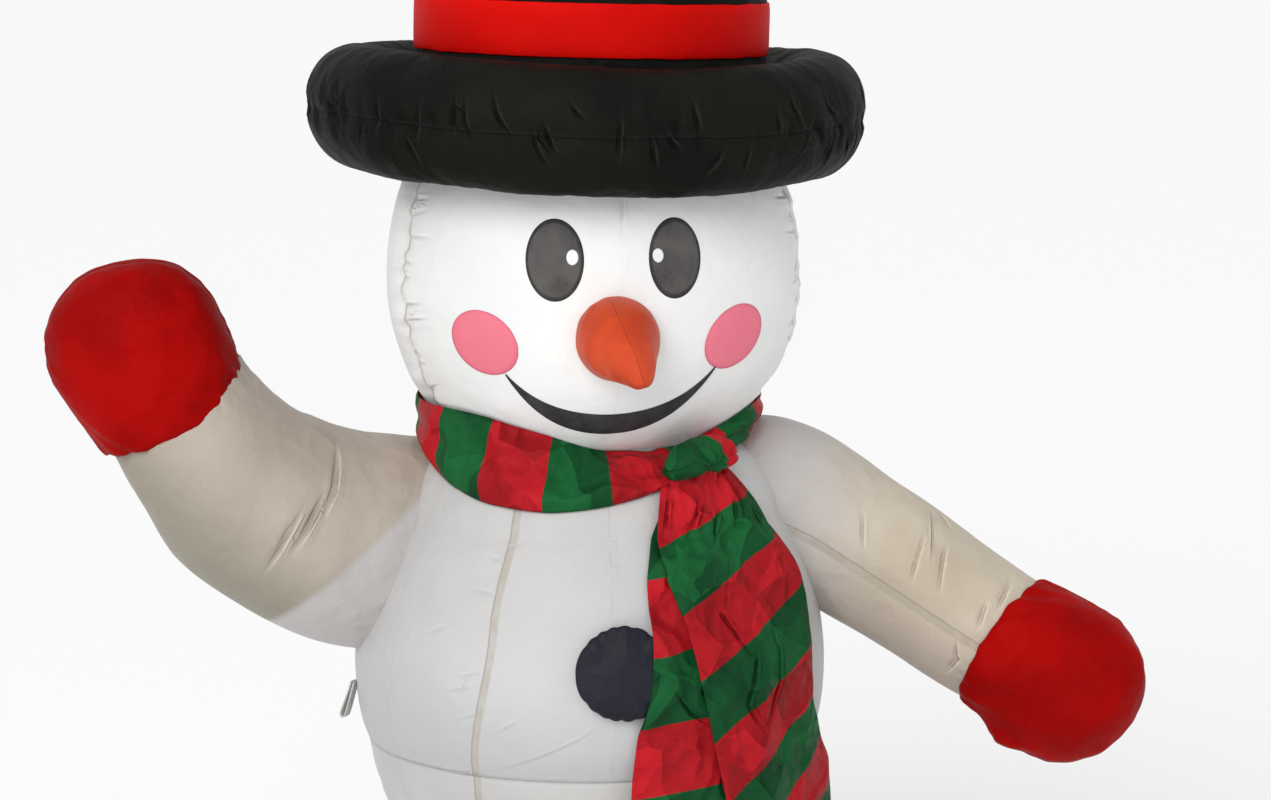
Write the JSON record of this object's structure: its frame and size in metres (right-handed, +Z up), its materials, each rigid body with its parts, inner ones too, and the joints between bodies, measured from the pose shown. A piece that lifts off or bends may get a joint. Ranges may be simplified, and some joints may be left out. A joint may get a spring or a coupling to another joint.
{
  "type": "inflatable yard snowman",
  "caption": "Fan-blown fabric snowman with top hat, striped scarf, one raised and one lowered arm with mittens, inner lamps, base blower and stake tabs.",
  "frame": {"origin": "centre of the base panel at the ground, on the body's upright axis", "axes": "+Z up, the face looks along -Y, +X is towards the lowered arm"},
  "size_m": [1.2299, 0.6894, 1.5214],
  "materials": {
    "white_cloth": "satin",
    "arm_cloth": "satin",
    "base_cloth": "matte",
    "black_cloth": "satin",
    "red_cloth": "satin",
    "grey_patch": "satin",
    "white_patch": "satin",
    "pink_patch": "satin",
    "orange_cloth": "satin",
    "navy_cloth": "satin",
    "scarf_cloth": "satin",
    "mitten_cloth": "satin",
    "webbing": "matte",
    "black_webbing": "matte",
    "bag_cloth": "matte",
    "brass": "polished",
    "aluminium": "satin",
    "steel": "satin",
    "motor_can": "satin",
    "white_plastic": "satin",
    "black_plastic": "satin",
    "inlet_plastic": "satin",
    "lead_rubber": "satin",
    "lamp_glass": "gloss"
  },
  "bodies": {
    "body": {"lower_body": "white_cloth", "base_panel": "base_cloth", "torso": "white_cloth", "head": "white_cloth", "hat_brim": "black_cloth", "hat_crown": "black_cloth", "hat_band": "red_cloth", "left_eye": "grey_patch", "right_eye": "grey_patch", "left_eye_glint": "white_patch", "right_eye_glint": "white_patch", "left_cheek": "pink_patch", "right_cheek": "pink_patch", "mouth": "grey_patch", "nose": "orange_cloth", "torso_button": "navy_cloth", "lower_button": "navy_cloth", "scarf_wrap": "scarf_cloth", "scarf_knot": "scarf_cloth", "tether_loops": "webbing", "stake_tabs": "webbing", "stake_eyelets": "brass", "zip_tape": "webbing", "zip_teeth": "white_plastic", "zip_stops": "aluminium", "fan_sleeve": "white_cloth", "sleeve_strap": "black_webbing", "fan_housing": "black_plastic", "fan_grille": "black_plastic", "housing_screws": "steel", "motor_mount": "black_plastic", "motor": "motor_can", "power_inlet": "inlet_plastic", "lamp_lead": "lead_rubber", "lead_connector": "black_plastic", "lamp_holders": "black_plastic", "lamp_bulbs": "lamp_glass", "lamp_hanger": "webbing", "weight_bags": "bag_cloth"},
    "raised_arm": {"raised_arm": "arm_cloth", "raised_mitten": "mitten_cloth"},
    "lowered_arm": {"lowered_arm": "arm_cloth", "lowered_mitten": "mitten_cloth"},
    "front_tail": {"scarf_front_tail": "scarf_cloth"},
    "rear_tail": {"scarf_rear_tail": "scarf_cloth"},
    "zip_slider": {"zip_slider": "aluminium"},
    "zip_pull": {"zip_pull": "aluminium"},
    "fan_rotor": {"impeller": "black_plastic", "motor_shaft": "steel"}
  },
  "joints": [
    {"name": "fan_spin", "type": "hinge", "parent": "body", "child": "fan_rotor", "pos_m": [0, 0.3, 0.13], "axis": [0, 1, 0], "continuous": true},
    {"name": "raised_arm_wave", "type": "hinge", "parent": "body", "child": "raised_arm", "pos_m": [-0.215, 0, 0.75], "axis": [0, 1, 0], "range_deg": [-10, 12], "stiffness_Nm_per_rad": 60},
    {"name": "lowered_arm_sway", "type": "hinge", "parent": "body", "child": "lowered_arm", "pos_m": [0.24, 0, 0.772], "axis": [0, 1, 0], "range_deg": [-8, 8], "stiffness_Nm_per_rad": 50},
    {"name": "front_tail_swing", "type": "hinge", "parent": "body", "child": "front_tail", "pos_m": [0.12579, -0.17313, 0.832], "axis": [-0.809, -0.5878, 0], "range_deg": [0, 30]},
    {"name": "rear_tail_swing", "type": "hinge", "parent": "body", "child": "rear_tail", "pos_m": [0.12579, -0.17313, 0.832], "axis": [-0.809, -0.5878, 0], "range_deg": [0, 24]},
    {"name": "zip_slider_travel", "type": "hinge", "parent": "body", "child": "zip_slider", "pos_m": [0, 0, 0.3], "axis": [0, 0, 1], "range_deg": [0, 62]},
    {"name": "zip_pull_flip", "type": "hinge", "parent": "zip_slider", "child": "zip_pull", "pos_m": [0.15731, 0.2618, 0.30275], "axis": [-0.8572, 0.515, 0], "range_deg": [-150, 0]}
  ],
  "couplings": [
    {"joint": "rear_tail_swing", "follows": "front_tail_swing", "ratio": 0.8}
  ]
}
